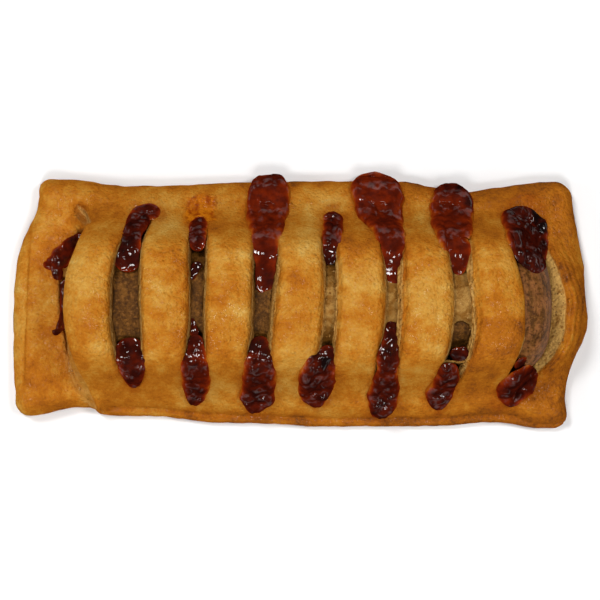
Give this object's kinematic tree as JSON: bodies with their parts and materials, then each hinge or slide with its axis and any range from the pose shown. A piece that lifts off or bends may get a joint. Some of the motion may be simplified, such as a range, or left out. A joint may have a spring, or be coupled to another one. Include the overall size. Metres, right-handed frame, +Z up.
{
  "type": "sausage roll",
  "caption": "Slit-top puff pastry sausage roll: a golden parcel cut across by slits over a log of sausage meat, with dark red relish set in pools at the ends of the slits.",
  "frame": {"origin": "middle of the footprint, on the surface that the roll rests on", "axes": "+X along the roll's length, +Y across it to its far side, +Z up"},
  "size_m": [0.1652, 0.072, 0.0372],
  "materials": {
    "crust": "baked puff pastry with an egg glaze, satin",
    "sausage_meat": "cooked sausage meat, moist satin",
    "relish": "sticky tomato and onion relish, glossy"
  },
  "bodies": {
    "root": {"pastry": "crust", "sausage_meat": "sausage_meat", "relish_0_far": "relish", "relish_0_near": "relish", "relish_1_far": "relish", "relish_1_near": "relish", "relish_2_far": "relish", "relish_2_near": "relish", "relish_3_far": "relish", "relish_3_near": "relish", "relish_4_far": "relish", "relish_4_near": "relish", "relish_5_far": "relish", "relish_5_near": "relish", "relish_6_far": "relish", "relish_6_near": "relish", "relish_7_far": "relish", "relish_7_near": "relish"}
  },
  "joints": []
}
